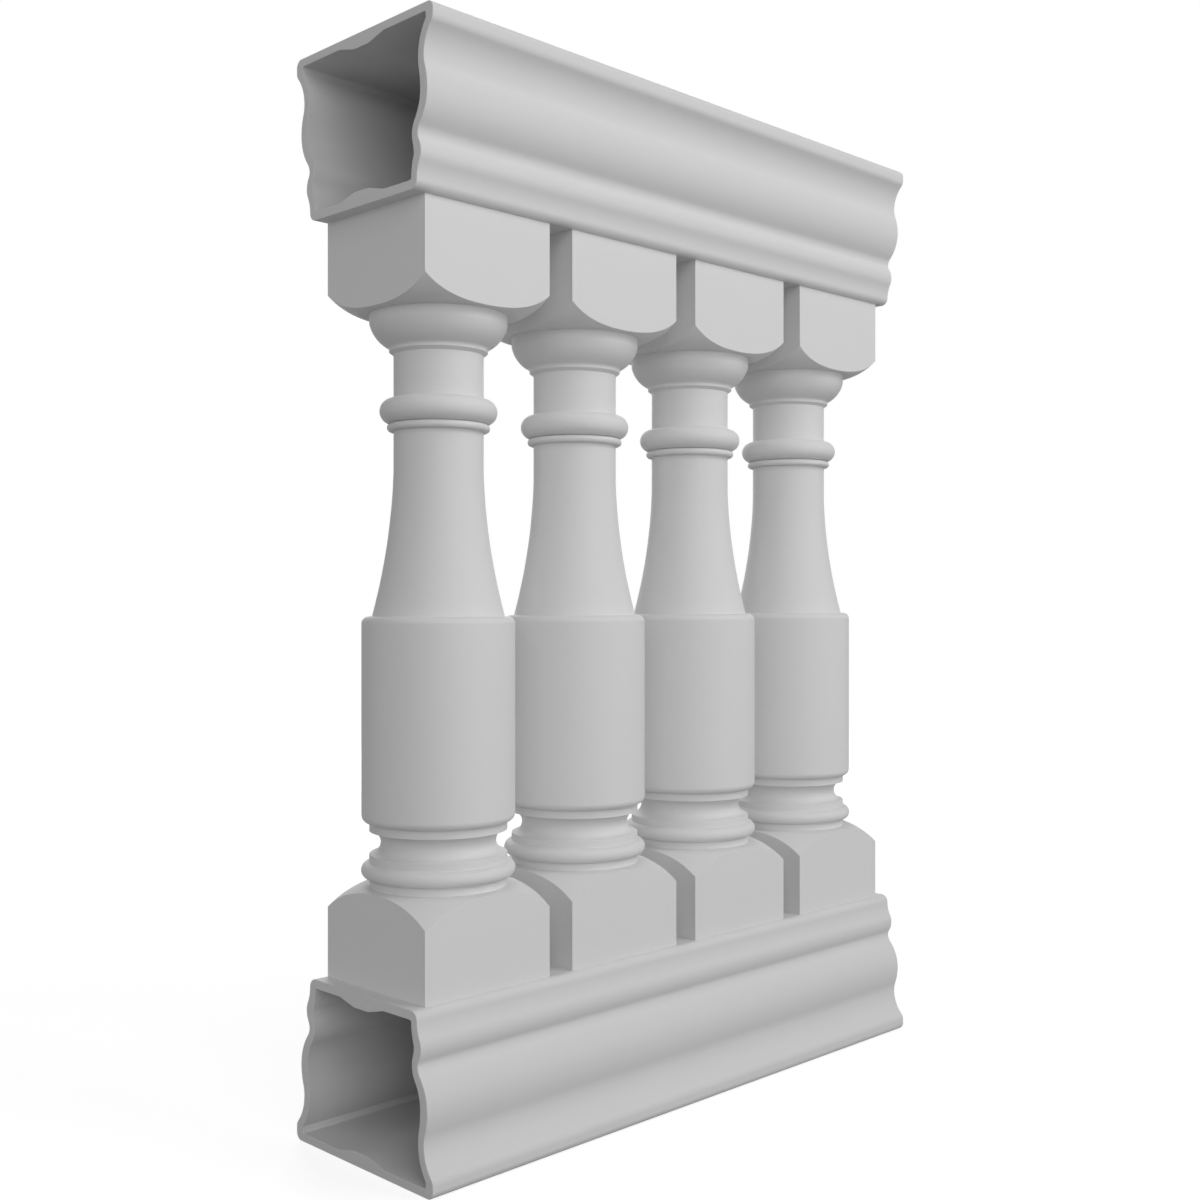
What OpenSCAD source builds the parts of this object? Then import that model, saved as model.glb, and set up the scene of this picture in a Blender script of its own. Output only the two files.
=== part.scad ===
// Level balustrade section: turned balusters with square blocks between two hollow moulded rails.
// Sizes are in millimetres. X runs along the rails, the front faces -Y, and Z = 0 is the underside.

/* [Layout] */
// Balusters between the rails
baluster_count = 4; // [2:1:8]
// Clear gap between neighbouring baluster blocks
block_gap = 25.4; // [15:0.1:60]
// Length of rail past the outer block at each end
end_margin = 12.7; // [5:0.1:100]

/* [Baluster height and blocks] */
// Height of a baluster from block to block
baluster_h = 609.6; // [560:0.1:900]
// Side of the square blocks
block_w = 127; // [120:0.1:150]
// Height of a block to its flat crown
crown_h = 75.6; // [68:0.1:80]
// Radius of the crown, where the turned shoulders start
crown_r = 62; // [60:0.1:63]
// Height of the foot block's corner edges
foot_edge_h = 56.6; // [45:0.1:66]
// Radius of the foot block's shoulders
foot_shoulder_r = 76; // [40:0.1:180]
// Height of the head block's corner edges
head_edge_h = 58.5; // [45:0.1:66]
// Radius of the head block's shoulders
head_shoulder_r = 52; // [40:0.1:180]

/* [Baluster base mouldings] */
// Radius of the collars between the mouldings
collar_r = 55.6; // [52:0.1:59]
// Height of the ring between the foot block and the torus
ring_h = 6.3; // [3:0.1:12]
// Height of the half-round base torus
torus_h = 12.9; // [8:0.1:18]
// Height of the collar over the torus
collar_h = 6.6; // [4:0.1:14]
// Rounding of the collar's upper edge
lip_r = 1; // [0.5:0.1:3]
// Height of the half-round hollow over the collar
scotia_h = 18.3; // [10:0.1:22]
// Height of the fillet under the drum
fillet_h = 6.6; // [4:0.1:12]

/* [Baluster drum and shaft] */
// Radius of the drum
drum_r = 61.8; // [60:0.1:70]
// Height of the drum
drum_h = 165.3; // [120:0.1:200]
// Rounding of the drum's upper edge
drum_top_round = 5.8; // [1:0.1:7]
// Radius of the shaft where it stands on the drum
shaft_foot_r = 53.5; // [48:0.1:54]
// Radius of the shaft and neck at their thinnest
shaft_r = 36.3; // [28:0.1:42]
// Radius of the hollow curve of the flared shaft
flare_r = 514; // [400:1:1200]
// Height of the plain shaft over the flare
shaft_h = 32.1; // [20:0.1:60]

/* [Baluster capital] */
// Height of the small bead under the astragal
bead_h = 6.2; // [5:0.1:10]
// Reach of the small bead from the shaft
bead_out = 5.3; // [5:0.1:8]
// Height of the half-round astragal
astragal_h = 20.2; // [14:0.1:22]
// Reach of the astragal from the shaft
astragal_out = 11.2; // [11:0.1:15]
// Height of the neck over the astragal
neck_h = 35.2; // [20:0.1:60]
// Height of the ring under the echinus
annulet_h = 5.6; // [5.4:0.1:8]
// Reach of that ring from the neck
annulet_out = 3.5; // [1.5:0.1:4]
// Rise of its slanted underside
annulet_rise = 2.6; // [1:0.1:3]
// Radius of the hollow between that ring and the echinus
annulet_hollow_r = 3; // [1:0.1:3.2]
// Height of the rounded echinus
echinus_h = 19.3; // [15:0.1:25]
// Radius of the echinus curve
echinus_r = 27.6; // [20:0.1:60]
// Height of the band between the echinus and the head block
band_h = 7.2; // [3:0.1:12]

/* [Rail moulding] */
// Width of a rail over its noses
rail_w = 177.8; // [160:0.1:200]
// Radius of the rounding from the flat face to the nose
nose_r = 6.2; // [4:0.1:12]
// Height of the upright band on the nose
nose_band = 4; // [1:0.1:8]
// Drop from that band to the bottom of the cove
cove_drop = 27.8; // [22:0.1:36]
// Depth of the cove behind the nose
cove_depth = 10.8; // [6:0.1:14]
// Drop from the cove to the crest of the roll
roll_drop = 24.5; // [16:0.1:32]
// Reach of the roll out of the cove
roll_out = 4.3; // [2:0.1:8]
// Drop from the roll to the bottom of the quirk
quirk_drop = 31.7; // [24:0.1:40]
// Depth of the quirk behind the roll
quirk_depth = 11.7; // [7:0.1:15]
// Drop from the quirk to the crest of the bead
rail_bead_drop = 13.7; // [9:0.1:18]
// Reach of the bead out of the quirk
rail_bead_out = 4; // [2:0.1:6]
// Drop from the bead to the toe
toe_drop = 19.6; // [12:0.1:26]
// Depth of the toe behind the bead
toe_depth = 4.8; // [2:0.1:8]
// Rounding from the toe to the flat seat
toe_r = 7; // [4:0.1:12]

/* [Rail walls] */
// Wall at the flat face
flat_wall = 6.6; // [5:0.1:9]
// Wall at the seat
seat_wall = 7.3; // [5:0.1:9]
// Wall behind the crests of the moulding
crest_wall = 8.6; // [6:0.1:10]
// Wall behind the hollows of the moulding
hollow_wall = 6.9; // [5:0.1:9]
// Height of the upright band inside the nose, with its corner
inner_band = 4.9; // [4.5:0.1:8]
// Rounding of the inner corners
inner_r = 1.8; // [1:0.1:4]
// Rise of the pads along the middle of both flat walls
pad_rise = 4.7; // [2:0.1:8]
// Width of a pad's flat
pad_flat_w = 19.5; // [10:0.1:40]
// Width of a pad where it leaves the wall
pad_base_w = 58; // [44:0.1:90]

/* [Hidden] */
// Largest distance between an arc and its chords
chord_tol = 0.03;
// Part of each double curve of the moulding that its first arc takes, from the nose down
nose_share = 0.19;
cove_share = 0.32;
roll_share = 0.79;
quirk_share = 0.31;
bead_share = 0.33;
$fn = 96;
finish_colour = "gainsboro";

baluster_pitch = block_w + block_gap;
rail_l = (baluster_count - 1) * baluster_pitch + block_w + 2 * end_margin;
corner_r = block_w / sqrt(2);

// Levels of the rail moulding over its seat
toe_z = toe_r;
rail_bead_z = toe_z + toe_drop;
quirk_z = rail_bead_z + rail_bead_drop;
roll_z = quirk_z + quirk_drop;
cove_z = roll_z + roll_drop;
nose_z = cove_z + cove_drop;
rail_h = nose_z + nose_band + nose_r;

// Half widths of the rail moulding
nose_y = rail_w / 2;
cove_y = nose_y - cove_depth;
roll_y = cove_y + roll_out;
quirk_y = roll_y - quirk_depth;
rail_bead_y = quirk_y + rail_bead_out;
toe_y = rail_bead_y - toe_depth;

// Levels of the turned mouldings over the baluster's foot
torus_z = crown_h + ring_h;
torus_top = torus_z + torus_h;
collar_top = torus_top + collar_h;
scotia_top = collar_top + scotia_h;
drum_z = scotia_top + fillet_h;
drum_top = drum_z + drum_h;
echinus_top = baluster_h - crown_h - band_h;
echinus_z = echinus_top - echinus_h;
annulet_z = echinus_z - annulet_h;
astragal_top = annulet_z - neck_h;
astragal_z = astragal_top - astragal_h;
bead_z = astragal_z - bead_h;
flare_top = bead_z - shaft_h;

// Number of chords in an arc
function chords(r, turn) = max(2, ceil(abs(turn) / (2 * acos(1 - min(0.3, chord_tol / r)))));

// Points of the arc round c from angle a to angle b
function arc(c, r, a, b) =
    let (n = chords(r, b - a))
    [for (i = [0:n]) c + r * [cos(a + (b - a) * i / n), sin(a + (b - a) * i / n)]];

// Angle of the way from p to q
function bearing(p, q) = atan2(q.y - p.y, q.x - p.x);

// Centre of the arc of radius r from p to q, round to the left, or to the right where r is negative
function arc_centre(p, q, r) =
    let (chord = q - p, half = norm(chord) / 2)
    (p + q) / 2 + sign(r) * sqrt(r * r - half * half) * [-chord.y, chord.x] / norm(chord);

// Points of the arc of radius r from p to q, round to the left, or to the right where r is negative.
// It can start some degrees before p.
function arc_between(p, q, r, overrun = 0) =
    let (c = arc_centre(p, q, r), a = bearing(c, p))
    arc(c, abs(r), a - sign(r) * overrun, a + 2 * asin(norm(q - p) / 2 / r));

// Points of two arcs that meet smoothly between p and q, upright at both ends.
// The inset is taken from the first radius and given to the last.
function double_curve(p, q, share, inset = 0) =
    let (
        d = q - p,
        turn = 2 * atan(abs(d.x / d.y)),
        sum_r = norm(d) * norm(d) / (2 * abs(d.x)),
        first_r = max(1, min(sum_r - 1, share * sum_r - inset)),
        last_r = sum_r - first_r,
        n = chords(first_r, turn),
        m = chords(last_r, turn)
    )
    concat(
        [for (i = [0:n])
            p + first_r * [sign(d.x) * (1 - cos(turn * i / n)), sign(d.y) * sin(turn * i / n)]],
        [for (i = [m:-1:0])
            q - last_r * [sign(d.x) * (1 - cos(turn * i / m)), sign(d.y) * sin(turn * i / m)]]
    );

// Points with repeats taken out
function distinct(pts) =
    [for (i = [0:len(pts) - 1]) if (i == 0 || norm(pts[i] - pts[i - 1]) > 0.001) pts[i]];

// One side of the moulding, from its flat face down to its seat.
// The insets are the walls behind crests and hollows, for the side of the hollow.
function moulding_side(
    nose, cove, roll, quirk, bead, toe,
    band, band_r, toe_r, crest_inset = 0, hollow_inset = 0
) = concat(
    arc(nose + [-band_r, band], band_r, 90, 0),
    double_curve(nose, cove, nose_share, crest_inset),
    double_curve(cove, roll, cove_share, -hollow_inset),
    double_curve(roll, quirk, roll_share, crest_inset),
    double_curve(quirk, bead, quirk_share, -hollow_inset),
    double_curve(bead, toe, bead_share, crest_inset),
    arc(toe - [toe_r, 0], toe_r, 0, -90)
);

// Closed outline made of one side and its mirror image
function both_sides(side) =
    let (pts = distinct(side))
    concat(pts, [for (i = [len(pts) - 1:-1:0]) [-pts[i].x, pts[i].y]]);

outer_side = moulding_side(
    [nose_y, nose_z], [cove_y, cove_z], [roll_y, roll_z],
    [quirk_y, quirk_z], [rail_bead_y, rail_bead_z], [toe_y, toe_z],
    nose_band, nose_r, toe_r
);

inner_side = moulding_side(
    [nose_y - crest_wall, rail_h - flat_wall - inner_band],
    [cove_y - hollow_wall, cove_z],
    [roll_y - crest_wall, roll_z],
    [quirk_y - hollow_wall, quirk_z],
    [rail_bead_y - crest_wall, rail_bead_z],
    [toe_y - hollow_wall, seat_wall + inner_r],
    inner_band - inner_r, inner_r, inner_r, crest_wall, hollow_wall
);

// The hollow's side with half of each pad
hollow_side = concat(
    [[pad_flat_w / 2, rail_h - flat_wall - pad_rise], [pad_base_w / 2, rail_h - flat_wall]],
    inner_side,
    [[pad_base_w / 2, seat_wall], [pad_flat_w / 2, seat_wall + pad_rise]]
);

// Profile of the turned mouldings, from the foot up
scotia_r = scotia_h / 2;
lip_top = collar_top + scotia_r - sqrt(scotia_r * scotia_r - lip_r * lip_r);
drum_foot_r = drum_r - collar_r;
annulet_r = shaft_r + annulet_out;
echinus_c = arc_centre([annulet_r, echinus_z], [collar_r, echinus_top], echinus_r);
annulet_hollow_x = annulet_r + annulet_hollow_r;
annulet_hollow_drop =
    sqrt(pow(echinus_r + annulet_hollow_r, 2) - pow(annulet_hollow_x - echinus_c.x, 2));
annulet_hollow_c = [annulet_hollow_x, echinus_c.y - annulet_hollow_drop];
annulet_hollow_end = bearing(annulet_hollow_c, echinus_c);

turning = distinct(concat(
    [[0, foot_edge_h], [collar_r, foot_edge_h]],
    arc([collar_r, torus_z + torus_h / 2], torus_h / 2, -90, 90),
    arc([collar_r - lip_r, lip_top - lip_r], lip_r, 0, 90),
    arc([collar_r, collar_top + scotia_r], scotia_r, 270 - asin(lip_r / scotia_r), 90),
    arc([collar_r, drum_z + drum_foot_r], drum_foot_r, -90, 0),
    arc([drum_r - drum_top_round, drum_top - drum_top_round], drum_top_round, 0, 90),
    arc_between([shaft_foot_r, drum_top], [shaft_r, flare_top], -flare_r),
    [[shaft_r, bead_z]],
    arc([shaft_r + bead_out - bead_h / 2, bead_z + bead_h / 2], bead_h / 2, -90, 90),
    arc([shaft_r + astragal_out - astragal_h / 2, astragal_z + astragal_h / 2], astragal_h / 2, -90, 90),
    [[shaft_r, astragal_top], [shaft_r, annulet_z], [annulet_r, annulet_z + annulet_rise]],
    arc(annulet_hollow_c, annulet_hollow_r, 180, annulet_hollow_end),
    arc(echinus_c, echinus_r, annulet_hollow_end - 180, bearing(echinus_c, [collar_r, echinus_top])),
    [[collar_r, baluster_h - head_edge_h], [0, baluster_h - head_edge_h]]
));

// Hollow rail along X, seat down
module rail() {
    rotate([90, 0, 90])
        linear_extrude(rail_l, center = true)
            difference() {
                polygon(both_sides(outer_side));
                polygon(both_sides(hollow_side));
            }
}

// Square block with turned shoulders from its corner edges up to the flat crown
module block(edge_h, shoulder_r) {
    shoulder = arc_between([corner_r, edge_h], [crown_r, crown_h], shoulder_r, 3);
    intersection() {
        translate([-block_w / 2, -block_w / 2, 0])
            cube([block_w, block_w, crown_h + 1]);
        rotate_extrude()
            polygon(concat([[0, -1], [shoulder[0].x, -1]], shoulder, [[0, crown_h]]));
    }
}

// One-piece baluster standing on its foot
module turned_baluster() {
    block(foot_edge_h, foot_shoulder_r);
    translate([0, 0, baluster_h])
        mirror([0, 0, 1])
            block(head_edge_h, head_shoulder_r);
    rotate_extrude()
        polygon(turning);
}

module bottom_rail() {
    color(finish_colour)
        translate([0, 0, rail_h])
            mirror([0, 0, 1])
                rail();
}

module top_rail() {
    color(finish_colour)
        translate([0, 0, rail_h + baluster_h])
            rail();
}

module baluster(place) {
    color(finish_colour)
        translate([(place - (baluster_count + 1) / 2) * baluster_pitch, 0, rail_h])
            turned_baluster();
}

bottom_rail();
top_rail();
for (place = [1:baluster_count])
    baluster(place);
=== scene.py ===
"""Looks of the level balustrade section: its primer finish, the soft studio light and the camera."""

import logging
import math
from collections.abc import Iterable, Mapping
from dataclasses import dataclass
from enum import Enum

import bpy
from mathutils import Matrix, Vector


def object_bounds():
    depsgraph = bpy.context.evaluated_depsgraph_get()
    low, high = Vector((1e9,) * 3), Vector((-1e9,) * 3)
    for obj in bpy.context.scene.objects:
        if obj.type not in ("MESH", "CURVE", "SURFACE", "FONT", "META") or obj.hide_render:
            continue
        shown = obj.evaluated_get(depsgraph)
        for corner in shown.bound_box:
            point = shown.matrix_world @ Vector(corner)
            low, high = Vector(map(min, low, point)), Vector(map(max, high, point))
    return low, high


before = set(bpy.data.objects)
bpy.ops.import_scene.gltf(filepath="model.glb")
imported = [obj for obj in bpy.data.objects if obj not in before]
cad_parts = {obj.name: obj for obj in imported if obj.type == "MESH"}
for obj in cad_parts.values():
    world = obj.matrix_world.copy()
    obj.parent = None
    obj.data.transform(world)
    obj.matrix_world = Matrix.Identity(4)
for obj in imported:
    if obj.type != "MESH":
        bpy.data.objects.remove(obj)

CAD_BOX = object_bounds()
MM = 0.001
NOISE_MIDDLE = 0.5
log = logging.getLogger("balustrade")


class Value:
    """An output socket of a node that can stand in Python expressions."""

    def __init__(self, graph: "NodeGraph", socket: bpy.types.NodeSocket | None) -> None:
        """Wraps one output socket of a graph."""
        self.graph = graph
        self.socket = socket

    def maths(self, operation: str, *terms: object) -> "Value":
        """Adds a Math node.

        Args:
            operation: The Math node's operation.
            terms: The node's inputs in order, values or numbers.

        Returns:
            The node's result.
        """
        return self.graph.add("ShaderNodeMath", {"operation": operation}, dict(enumerate(terms)))

    def __add__(self, other: object) -> "Value":
        """Sum of this value and another."""
        return self.maths("ADD", self, other)

    def __radd__(self, other: object) -> "Value":
        """Sum of a number and this value."""
        return self.maths("ADD", other, self)

    def __sub__(self, other: object) -> "Value":
        """Difference of this value and another."""
        return self.maths("SUBTRACT", self, other)

    def __rsub__(self, other: object) -> "Value":
        """Difference of a number and this value."""
        return self.maths("SUBTRACT", other, self)

    def __mul__(self, other: object) -> "Value":
        """Product of this value and another."""
        return self.maths("MULTIPLY", self, other)

    def __rmul__(self, other: object) -> "Value":
        """Product of a number and this value."""
        return self.maths("MULTIPLY", other, self)

    def __gt__(self, other: object) -> "Value":
        """One where this value is greater than another, else zero."""
        return self.maths("GREATER_THAN", self, other)

    def __abs__(self) -> "Value":
        """This value without its sign."""
        return self.maths("ABSOLUTE", self)

    def __or__(self, other: object) -> "Value":
        """The larger of this value and another."""
        return self.maths("MAXIMUM", self, other)


class NodeGraph:
    """Builds the nodes of one shader, world or geometry tree."""

    def __init__(self, tree: bpy.types.NodeTree) -> None:
        """Empties the tree so that the graph starts bare."""
        self.tree = tree
        tree.nodes.clear()

    @staticmethod
    def socket_of(sockets: Iterable[bpy.types.NodeSocket], key: str | int) -> bpy.types.NodeSocket:
        """Finds a socket that is in use.

        Args:
            sockets: The inputs or the outputs of a node.
            key: The socket's name, or its place among the sockets in use.

        Returns:
            The socket.
        """
        in_use = [socket for socket in sockets if socket.enabled]
        if isinstance(key, int):
            return in_use[key]
        return next(socket for socket in in_use if socket.name == key)

    def add(
        self,
        kind: str,
        settings: Mapping[str, object] | None = None,
        sockets: Mapping[str | int, object] | None = None,
        output: str | int = 0,
    ) -> Value:
        """Adds a node of any kind.

        Args:
            kind: The node's type.
            settings: The node's own settings, set before its sockets.
            sockets: Values, links or plain numbers of the node's inputs.
            output: The output to hand back.

        Returns:
            The output as a value, which is empty for a node without outputs.
        """
        node = self.tree.nodes.new(kind)
        for name, setting in (settings or {}).items():
            setattr(node, name, setting)
        for key, entry in (sockets or {}).items():
            socket = self.socket_of(node.inputs, key)
            if isinstance(entry, Value):
                self.tree.links.new(entry.socket, socket)
            else:
                socket.default_value = entry
        return Value(self, self.socket_of(node.outputs, output) if node.outputs else None)

    def noise(self, place: Value, size: float, layers: float) -> Value:
        """Adds a noise pattern.

        Args:
            place: Where the surface is, in metres.
            size: Width of the pattern's largest blots, in metres.
            layers: Finer layers of the pattern.

        Returns:
            The pattern, from 0 to 1 with its middle at NOISE_MIDDLE.
        """
        sockets = {"Vector": place, "Scale": 1 / size, "Detail": layers}
        return self.add("ShaderNodeTexNoise", {}, sockets, "Fac")

    def grey(self, tone: float, shift: Value) -> Value:
        """Makes a grey that drifts around its middle tone.

        Args:
            tone: The middle tone, in linear light.
            shift: Share by which the tone changes, around zero.

        Returns:
            The colour.
        """
        level = tone * (1 + shift)
        return self.add("ShaderNodeCombineColor", {"mode": "RGB"}, {0: level, 1: level, 2: level})


class Slot(Enum):
    """Material slots of the part."""

    RAIL = "rail_primer"
    BALUSTER = "baluster_primer"


@dataclass(frozen=True)
class PrimerFinish:
    """Matt grey primer sprayed on moulded foam.

    Attributes:
        slot: The material slot that the finish belongs to.
        tone: Grey of the primer, in linear light.
        cloud_size: Width of the faint clouds in the coat, in metres.
        cloud_depth: Share by which the clouds change the tone.
        grain_size: Width of the primer's dry grain, in metres.
        grain_depth: Share by which the grain changes the tone.
        peel_size: Width of the dimples of the sprayed coat, in metres.
        peel_height: Height of those dimples, in metres.
        cloud_layers: Finer layers of the clouds.
        fine_layers: Finer layers of the grain and of the dimples.
        roughness: Middle roughness of the coat.
        roughness_spread: Change of roughness from cloud to cloud.
        gloss: Strength of the coat's faint gloss.
    """

    slot: Slot
    tone: float
    cloud_size: float = 90 * MM
    cloud_depth: float = 0.012
    grain_size: float = 0.7 * MM
    grain_depth: float = 0.015
    peel_size: float = 2.4 * MM
    peel_height: float = 0.012 * MM
    cloud_layers: float = 4.0
    fine_layers: float = 2.0
    roughness: float = 0.72
    roughness_spread: float = 0.06
    gloss: float = 0.25

    def shade(self, graph: NodeGraph, place: Value, cloud: Value) -> Value:
        """Makes the share by which the tone changes.

        Args:
            graph: The graph of the material.
            place: Where the surface is, in metres.
            cloud: The coat's clouds, around zero.

        Returns:
            The share, around zero.
        """
        grain = graph.noise(place, self.grain_size, self.fine_layers) - NOISE_MIDDLE
        return 2 * self.cloud_depth * cloud + 2 * self.grain_depth * grain

    def relief(self, graph: NodeGraph, place: Value) -> Value:
        """Makes the height of the surface.

        Args:
            graph: The graph of the material.
            place: Where the surface is, in metres.

        Returns:
            The height, in metres.
        """
        return self.peel_height * graph.noise(place, self.peel_size, self.fine_layers)

    def material(self) -> bpy.types.Material:
        """Builds the finish as a material.

        Returns:
            The material.
        """
        made = bpy.data.materials.new(f"{self.slot.value}_coat")
        made.use_nodes = True
        graph = NodeGraph(made.node_tree)
        place = graph.add("ShaderNodeTexCoord", output="Object")
        cloud = graph.noise(place, self.cloud_size, self.cloud_layers) - NOISE_MIDDLE
        colour = graph.grey(self.tone, self.shade(graph, place, cloud))
        height = {"Strength": 1.0, "Distance": 1.0, "Height": self.relief(graph, place)}
        coat = graph.add(
            "ShaderNodeBsdfPrincipled",
            {},
            {
                "Base Color": colour,
                "Roughness": self.roughness + self.roughness_spread * cloud,
                "Specular IOR Level": self.gloss,
                "Normal": graph.add("ShaderNodeBump", {}, height),
            },
        )
        graph.add("ShaderNodeOutputMaterial", {}, {"Surface": coat})
        return made


@dataclass(frozen=True)
class SawnPrimerFinish(PrimerFinish):
    """Primer on a length that is sawn off square, with fine foam cells in its sawn ends and painted
    shade in the middle of each cell.

    Attributes:
        end: Distance of the sawn ends from the middle of the length, in metres.
        end_skin: Depth behind the sawn ends that still shows the cells, in metres.
        cell_size: Width of the foam's cells, in metres.
        cell_painted_shade: Share by which painted shade darkens the tone in the middle of the cells.
        cell_depth: Depth of the cells, in metres.
    """

    end: float = CAD_BOX[1][0]
    end_skin: float = 0.05 * MM
    cell_size: float = 0.6 * MM
    cell_painted_shade: float = 0.05
    cell_depth: float = 0.03 * MM

    def cells(self, graph: NodeGraph, place: Value) -> Value:
        """Makes the pattern of open cells.

        Args:
            graph: The graph of the material.
            place: Where the surface is, in metres.

        Returns:
            One in the middle of a cell, falling to zero around it and off the sawn ends.
        """
        along = graph.add("ShaderNodeSeparateXYZ", {}, {"Vector": place}, "X")
        sawn = abs(along) > self.end - self.end_skin
        sockets = {"Vector": place, "Scale": 1 / self.cell_size}
        far = graph.add("ShaderNodeTexVoronoi", {"feature": "F1"}, sockets, "Distance")
        return sawn * ((1 - 2 * far) | 0)

    def shade(self, graph: NodeGraph, place: Value, cloud: Value) -> Value:
        """Makes the share by which the tone changes, with painted shade in the cells.

        Args:
            graph: The graph of the material.
            place: Where the surface is, in metres.
            cloud: The coat's clouds, around zero.

        Returns:
            The share, around zero.
        """
        # Painted shade: the tone is darkest in the middle of each cell, where its pit is deepest.
        return super().shade(graph, place, cloud) - self.cell_painted_shade * self.cells(graph, place)

    def relief(self, graph: NodeGraph, place: Value) -> Value:
        """Makes the height of the surface, with the cells.

        Args:
            graph: The graph of the material.
            place: Where the surface is, in metres.

        Returns:
            The height, in metres.
        """
        return super().relief(graph, place) - self.cell_depth * self.cells(graph, place)


@dataclass
class SubAssembly:
    """Nodes of the part that share a finish and the softness of their edges.

    Attributes:
        name: Plain name of the sub-assembly.
        names: Names of its nodes.
        finish: The finish of every node.
        arris: Radius of the outward edges, in metres.
        arris_steps: Facets of an outward edge.
        weld: Distance at which the vertices of neighbouring faces are one, in metres.
        crease: Bend from which an edge stays sharp, in degrees.
    """

    name: str
    names: tuple[str, ...]
    finish: PrimerFinish
    arris: float = 0.3 * MM
    arris_steps: int = 2
    weld: float = 0.01 * MM
    crease: float = 28.0

    def nodes(self) -> list[bpy.types.Object]:
        """Lists the nodes.

        Returns:
            The nodes' objects in the order of their names.
        """
        return [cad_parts[name] for name in self.names]

    def smoothing(self) -> bpy.types.GeometryNodeTree:
        """Makes the node group that joins the faces and shades their curves smooth.

        Returns:
            The node group.
        """
        tree = bpy.data.node_groups.new(f"{self.name}_smoothing", "GeometryNodeTree")
        tree.interface.new_socket("Geometry", in_out="INPUT", socket_type="NodeSocketGeometry")
        tree.interface.new_socket("Geometry", in_out="OUTPUT", socket_type="NodeSocketGeometry")
        graph = NodeGraph(tree)
        mesh = graph.add("NodeGroupInput", output="Geometry")
        mesh = graph.add("GeometryNodeRemoveAttribute", {}, {"Geometry": mesh, "Name": "custom_normal"})
        mesh = graph.add("GeometryNodeMergeByDistance", {}, {"Geometry": mesh, "Distance": self.weld})
        bend = graph.add("GeometryNodeInputMeshEdgeAngle", output="Unsigned Angle")
        outward = graph.add("GeometryNodeInputMeshEdgeAngle", output="Signed Angle")
        limit = math.radians(self.crease)
        for domain, smooth in (("FACE", True), ("EDGE", 1 - (bend > limit))):
            sockets = {"Geometry": mesh, "Shade Smooth": smooth}
            mesh = graph.add("GeometryNodeSetShadeSmooth", {"domain": domain}, sockets)
        mesh = graph.add(
            "GeometryNodeStoreNamedAttribute",
            {"data_type": "FLOAT", "domain": "EDGE"},
            {"Geometry": mesh, "Name": "bevel_weight_edge", "Value": outward > limit},
        )
        graph.add("NodeGroupOutput", {}, {"Geometry": mesh})
        return tree

    def build(self) -> None:
        """Rounds the outward edges of the nodes and shades their curves smooth."""
        smoothing = self.smoothing()
        for node in self.nodes():
            node.modifiers.new("smoothing", "NODES").node_group = smoothing
            bevel = node.modifiers.new("arris", "BEVEL")
            bevel.width = self.arris
            bevel.segments = self.arris_steps
            bevel.limit_method = "WEIGHT"
            bevel.use_clamp_overlap = True
            evening = node.modifiers.new("evening", "WEIGHTED_NORMAL")
            evening.keep_sharp = True
            log.info("built %s", node.name)

    def dress(self) -> None:
        """Gives every node its finish."""
        coat = self.finish.material()
        for node in self.nodes():
            node.material_slots[0].material = coat
            log.info("dressed %s in %s", node.name, coat.name)


@dataclass
class Rails(SubAssembly):
    """The hollow bottom and top rail, sawn off square at both ends."""

    name: str = "rails"
    names: tuple[str, ...] = ("bottom_rail", "top_rail")
    finish: PrimerFinish = SawnPrimerFinish(Slot.RAIL, tone=0.675)
    crease: float = 15.0


@dataclass
class Balusters(SubAssembly):
    """The turned balusters with their square blocks."""

    name: str = "balusters"
    names: tuple[str, ...] = ("baluster_1", "baluster_2", "baluster_3", "baluster_4")
    finish: PrimerFinish = PrimerFinish(Slot.BALUSTER, tone=0.72)


@dataclass(frozen=True)
class SoftBox:
    """A lamp behind a white cloth, turned to the middle of the part.

    Attributes:
        name: Name of the lamp.
        bearing: Where it stands, in degrees from the front towards +X.
        elevation: How high it stands, in degrees over the middle of the part.
        power: Light output, in watts.
        distance: Distance from the middle of the part, in metres.
        side: Width and height of the cloth, in metres.
        aim: The middle of the part, in metres.
    """

    name: str
    bearing: float
    elevation: float
    power: float
    distance: float = 3.0
    side: float = 1.5
    aim: tuple[float, float, float] = (0.0, 0.0, 0.44)

    @property
    def place(self) -> Vector:
        """Where the lamp stands, in metres."""
        bearing = math.radians(self.bearing)
        elevation = math.radians(self.elevation)
        level = math.cos(elevation)
        reach = Vector((math.sin(bearing) * level, -math.cos(bearing) * level, math.sin(elevation)))
        return Vector(self.aim) + self.distance * reach

    def build(self) -> bpy.types.Object:
        """Makes the lamp.

        Returns:
            The lamp's object.
        """
        data = bpy.data.lights.new(self.name, "AREA")
        data.shape = "SQUARE"
        data.size = self.side
        data.energy = self.power
        lamp = bpy.data.objects.new(self.name, data)
        lamp.location = self.place
        facing = Vector(self.aim) - self.place
        lamp.rotation_euler = facing.to_track_quat("-Z", "Y").to_euler()
        lamp.visible_camera = False
        bpy.context.scene.collection.objects.link(lamp)
        return lamp


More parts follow.
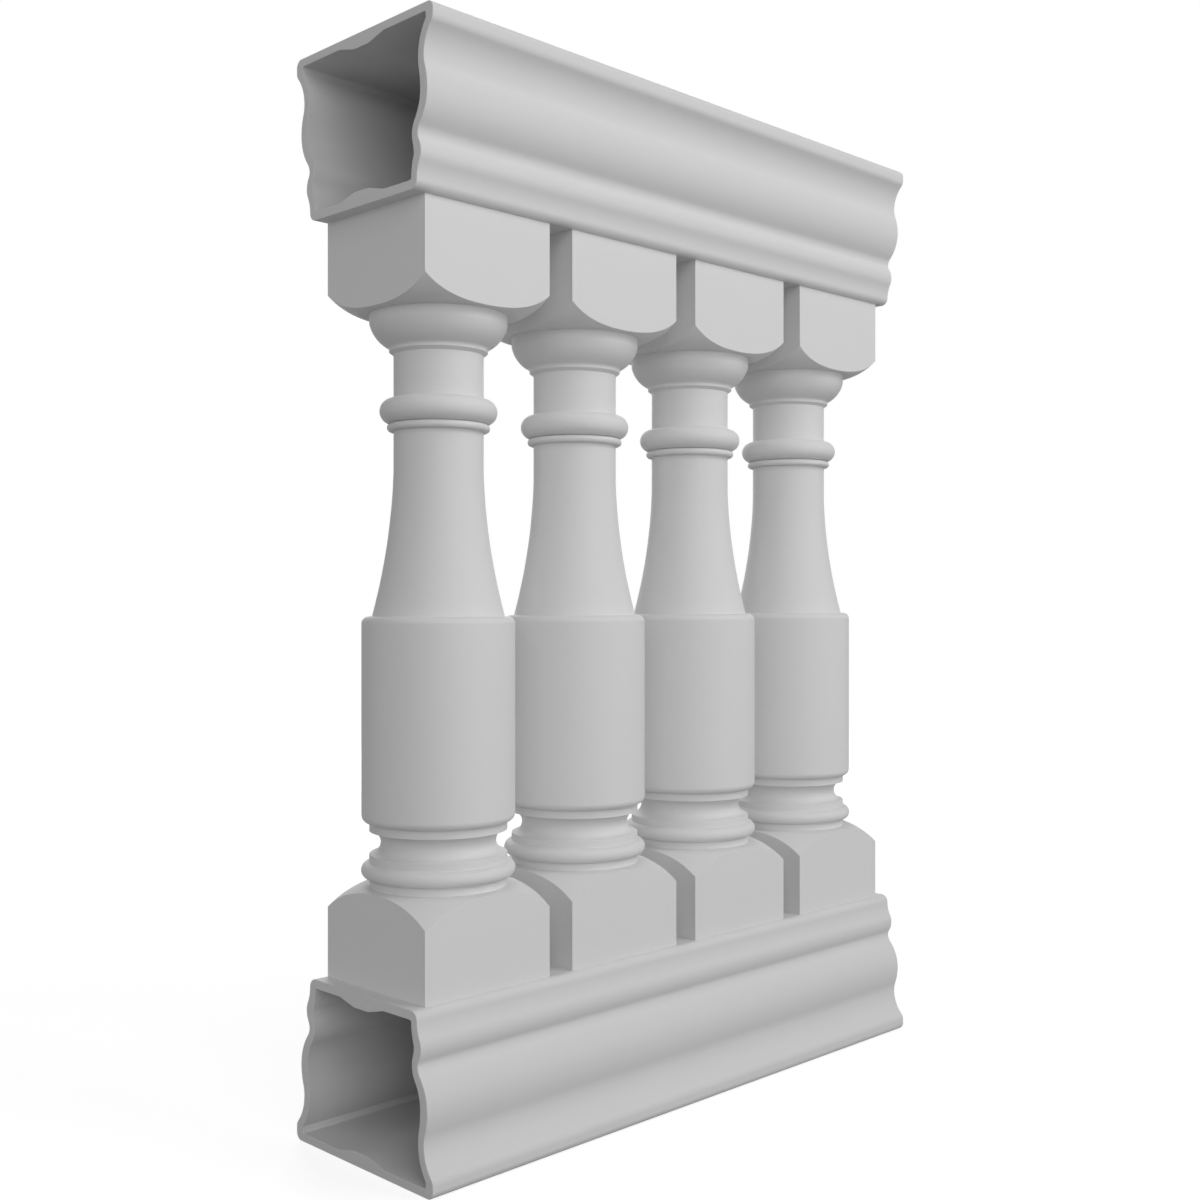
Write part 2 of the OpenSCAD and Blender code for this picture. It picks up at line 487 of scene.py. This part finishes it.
@dataclass
class Studio:
    """Pale floor, even surrounding light and soft lamps.

    Attributes:
        lamps: The lamps.
        floor_reach: Distance from the part to the edge of the floor, in metres.
        floor_drop: Gap between the part and the floor, in metres.
        floor_tone: Grey of the floor, in linear light.
        floor_glow: Light that the far floor sends to the camera by itself.
        floor_dim: Share by which that light is less among the lamps, where their light makes it up.
        lamp_ring: Distances from the part between which the lamps' light ends, in metres.
        surround: Strength of the light from all sides.
    """

    lamps: tuple[SoftBox, ...]
    floor_reach: float = 30.0
    floor_drop: float = 0.2 * MM
    floor_tone: float = 0.3
    floor_glow: float = 0.966
    floor_dim: float = 0.14
    lamp_ring: tuple[float, float] = (1.8, 3.0)
    surround: float = 0.135

    @staticmethod
    def seen_directly(graph: NodeGraph) -> Value:
        """Makes the mask of rays that show the background itself.

        Args:
            graph: The graph that the mask is for.

        Returns:
            One for rays from the camera, from gloss and through glass, else zero.
        """
        camera = graph.add("ShaderNodeLightPath", output="Is Camera Ray")
        gloss = graph.add("ShaderNodeLightPath", output="Is Glossy Ray")
        glass = graph.add("ShaderNodeLightPath", output="Is Transmission Ray")
        return camera | gloss | glass

    def floor_light(self, graph: NodeGraph) -> Value:
        """Makes the floor's own light, so that lamps and floor together show white.

        Args:
            graph: The graph of the floor's material.

        Returns:
            The shader of that light.
        """
        place = graph.add("ShaderNodeTexCoord", output="Object")
        away = graph.add("ShaderNodeVectorMath", {"operation": "LENGTH"}, {"Vector": place}, "Value")
        ring_start, ring_end = self.lamp_ring
        among_lamps = graph.add(
            "ShaderNodeMapRange",
            {"interpolation_type": "SMOOTHSTEP"},
            {"Value": away, "From Min": ring_start, "From Max": ring_end, "To Min": 1.0, "To Max": 0.0},
        )
        glow = graph.grey(self.floor_glow, -self.floor_dim * among_lamps)
        return graph.add("ShaderNodeEmission", {}, {"Color": glow})

    def build_floor(self) -> bpy.types.Object:
        """Makes the floor, which shows white and keeps the part's shadow.

        Returns:
            The floor's object.
        """
        reach = self.floor_reach
        corners = [(-reach, -reach, 0), (reach, -reach, 0), (reach, reach, 0), (-reach, reach, 0)]
        mesh = bpy.data.meshes.new("floor")
        mesh.from_pydata(corners, [], [(0, 1, 2, 3)])
        made = bpy.data.materials.new("floor_white")
        made.use_nodes = True
        graph = NodeGraph(made.node_tree)
        tone = self.floor_tone
        matt = graph.add("ShaderNodeBsdfDiffuse", {}, {"Color": (tone, tone, tone, 1)})
        shown = graph.add("ShaderNodeAddShader", {}, {0: matt, 1: self.floor_light(graph)})
        surface = graph.add("ShaderNodeMixShader", {}, {0: self.seen_directly(graph), 1: matt, 2: shown})
        graph.add("ShaderNodeOutputMaterial", {}, {"Surface": surface})
        mesh.materials.append(made)
        floor = bpy.data.objects.new("floor", mesh)
        floor.location.z = -self.floor_drop
        bpy.context.scene.collection.objects.link(floor)
        return floor

    def build_surround(self) -> None:
        """Makes the even light from all sides, which shows white to the camera."""
        world = bpy.data.worlds.new("surround")
        world.use_nodes = True
        graph = NodeGraph(world.node_tree)
        strength = self.surround + (1 - self.surround) * self.seen_directly(graph)
        light = graph.add("ShaderNodeBackground", {}, {"Color": (1, 1, 1, 1), "Strength": strength})
        graph.add("ShaderNodeOutputWorld", {}, {"Surface": light})
        bpy.context.scene.world = world

    def build(self) -> None:
        """Makes the floor, the surrounding light and the lamps."""
        log.info("built %s", self.build_floor().name)
        self.build_surround()
        for lamp in self.lamps:
            log.info("built %s", lamp.build().name)


@dataclass(frozen=True)
class Viewpoint:
    """The camera, level and at half the part's height.

    Attributes:
        place: Where the camera stands, in metres.
        heading: Direction of view, in degrees from +Y towards +X.
        lens: Focal length for a sensor 36 mm wide, in millimetres.
        shift: Sideways shift of the picture, as a share of its width.
    """

    place: tuple[float, float, float] = (-0.97125, -0.93334, 0.4393)
    heading: float = 45.0
    lens: float = 43.92
    shift: float = -0.0044

    def build(self) -> bpy.types.Object:
        """Makes the camera and gives it to the scene.

        Returns:
            The camera's object.
        """
        data = bpy.data.cameras.new("viewpoint")
        data.lens = self.lens
        data.shift_x = self.shift
        camera = bpy.data.objects.new("viewpoint", data)
        camera.location = self.place
        camera.rotation_euler = (math.pi / 2, 0, -math.radians(self.heading))
        bpy.context.scene.collection.objects.link(camera)
        bpy.context.scene.camera = camera
        return camera


def main() -> None:
    """Builds and dresses the part and sets up the studio."""
    logging.basicConfig(level=logging.INFO, format="%(message)s")
    bpy.context.scene.view_settings.view_transform = "Standard"
    for group in (Rails(), Balusters()):
        group.build()
        group.dress()
    lamps = (
        SoftBox("front_lamp", bearing=-25, elevation=35, power=14.3),
        SoftBox("right_lamp", bearing=28, elevation=40, power=26.5),
        SoftBox("left_lamp", bearing=-50, elevation=20, power=8.6),
        SoftBox("low_right_lamp", bearing=20, elevation=0, power=17.9),
        SoftBox("low_left_lamp", bearing=-25, elevation=0, power=14.3),
        SoftBox("end_lamp", bearing=-120, elevation=5, power=11.8),
        SoftBox("back_lamp", bearing=150, elevation=20, power=42.4),
    )
    Studio(lamps=lamps).build()
    log.info("built %s", Viewpoint().build().name)


if __name__ == "__main__":
    main()
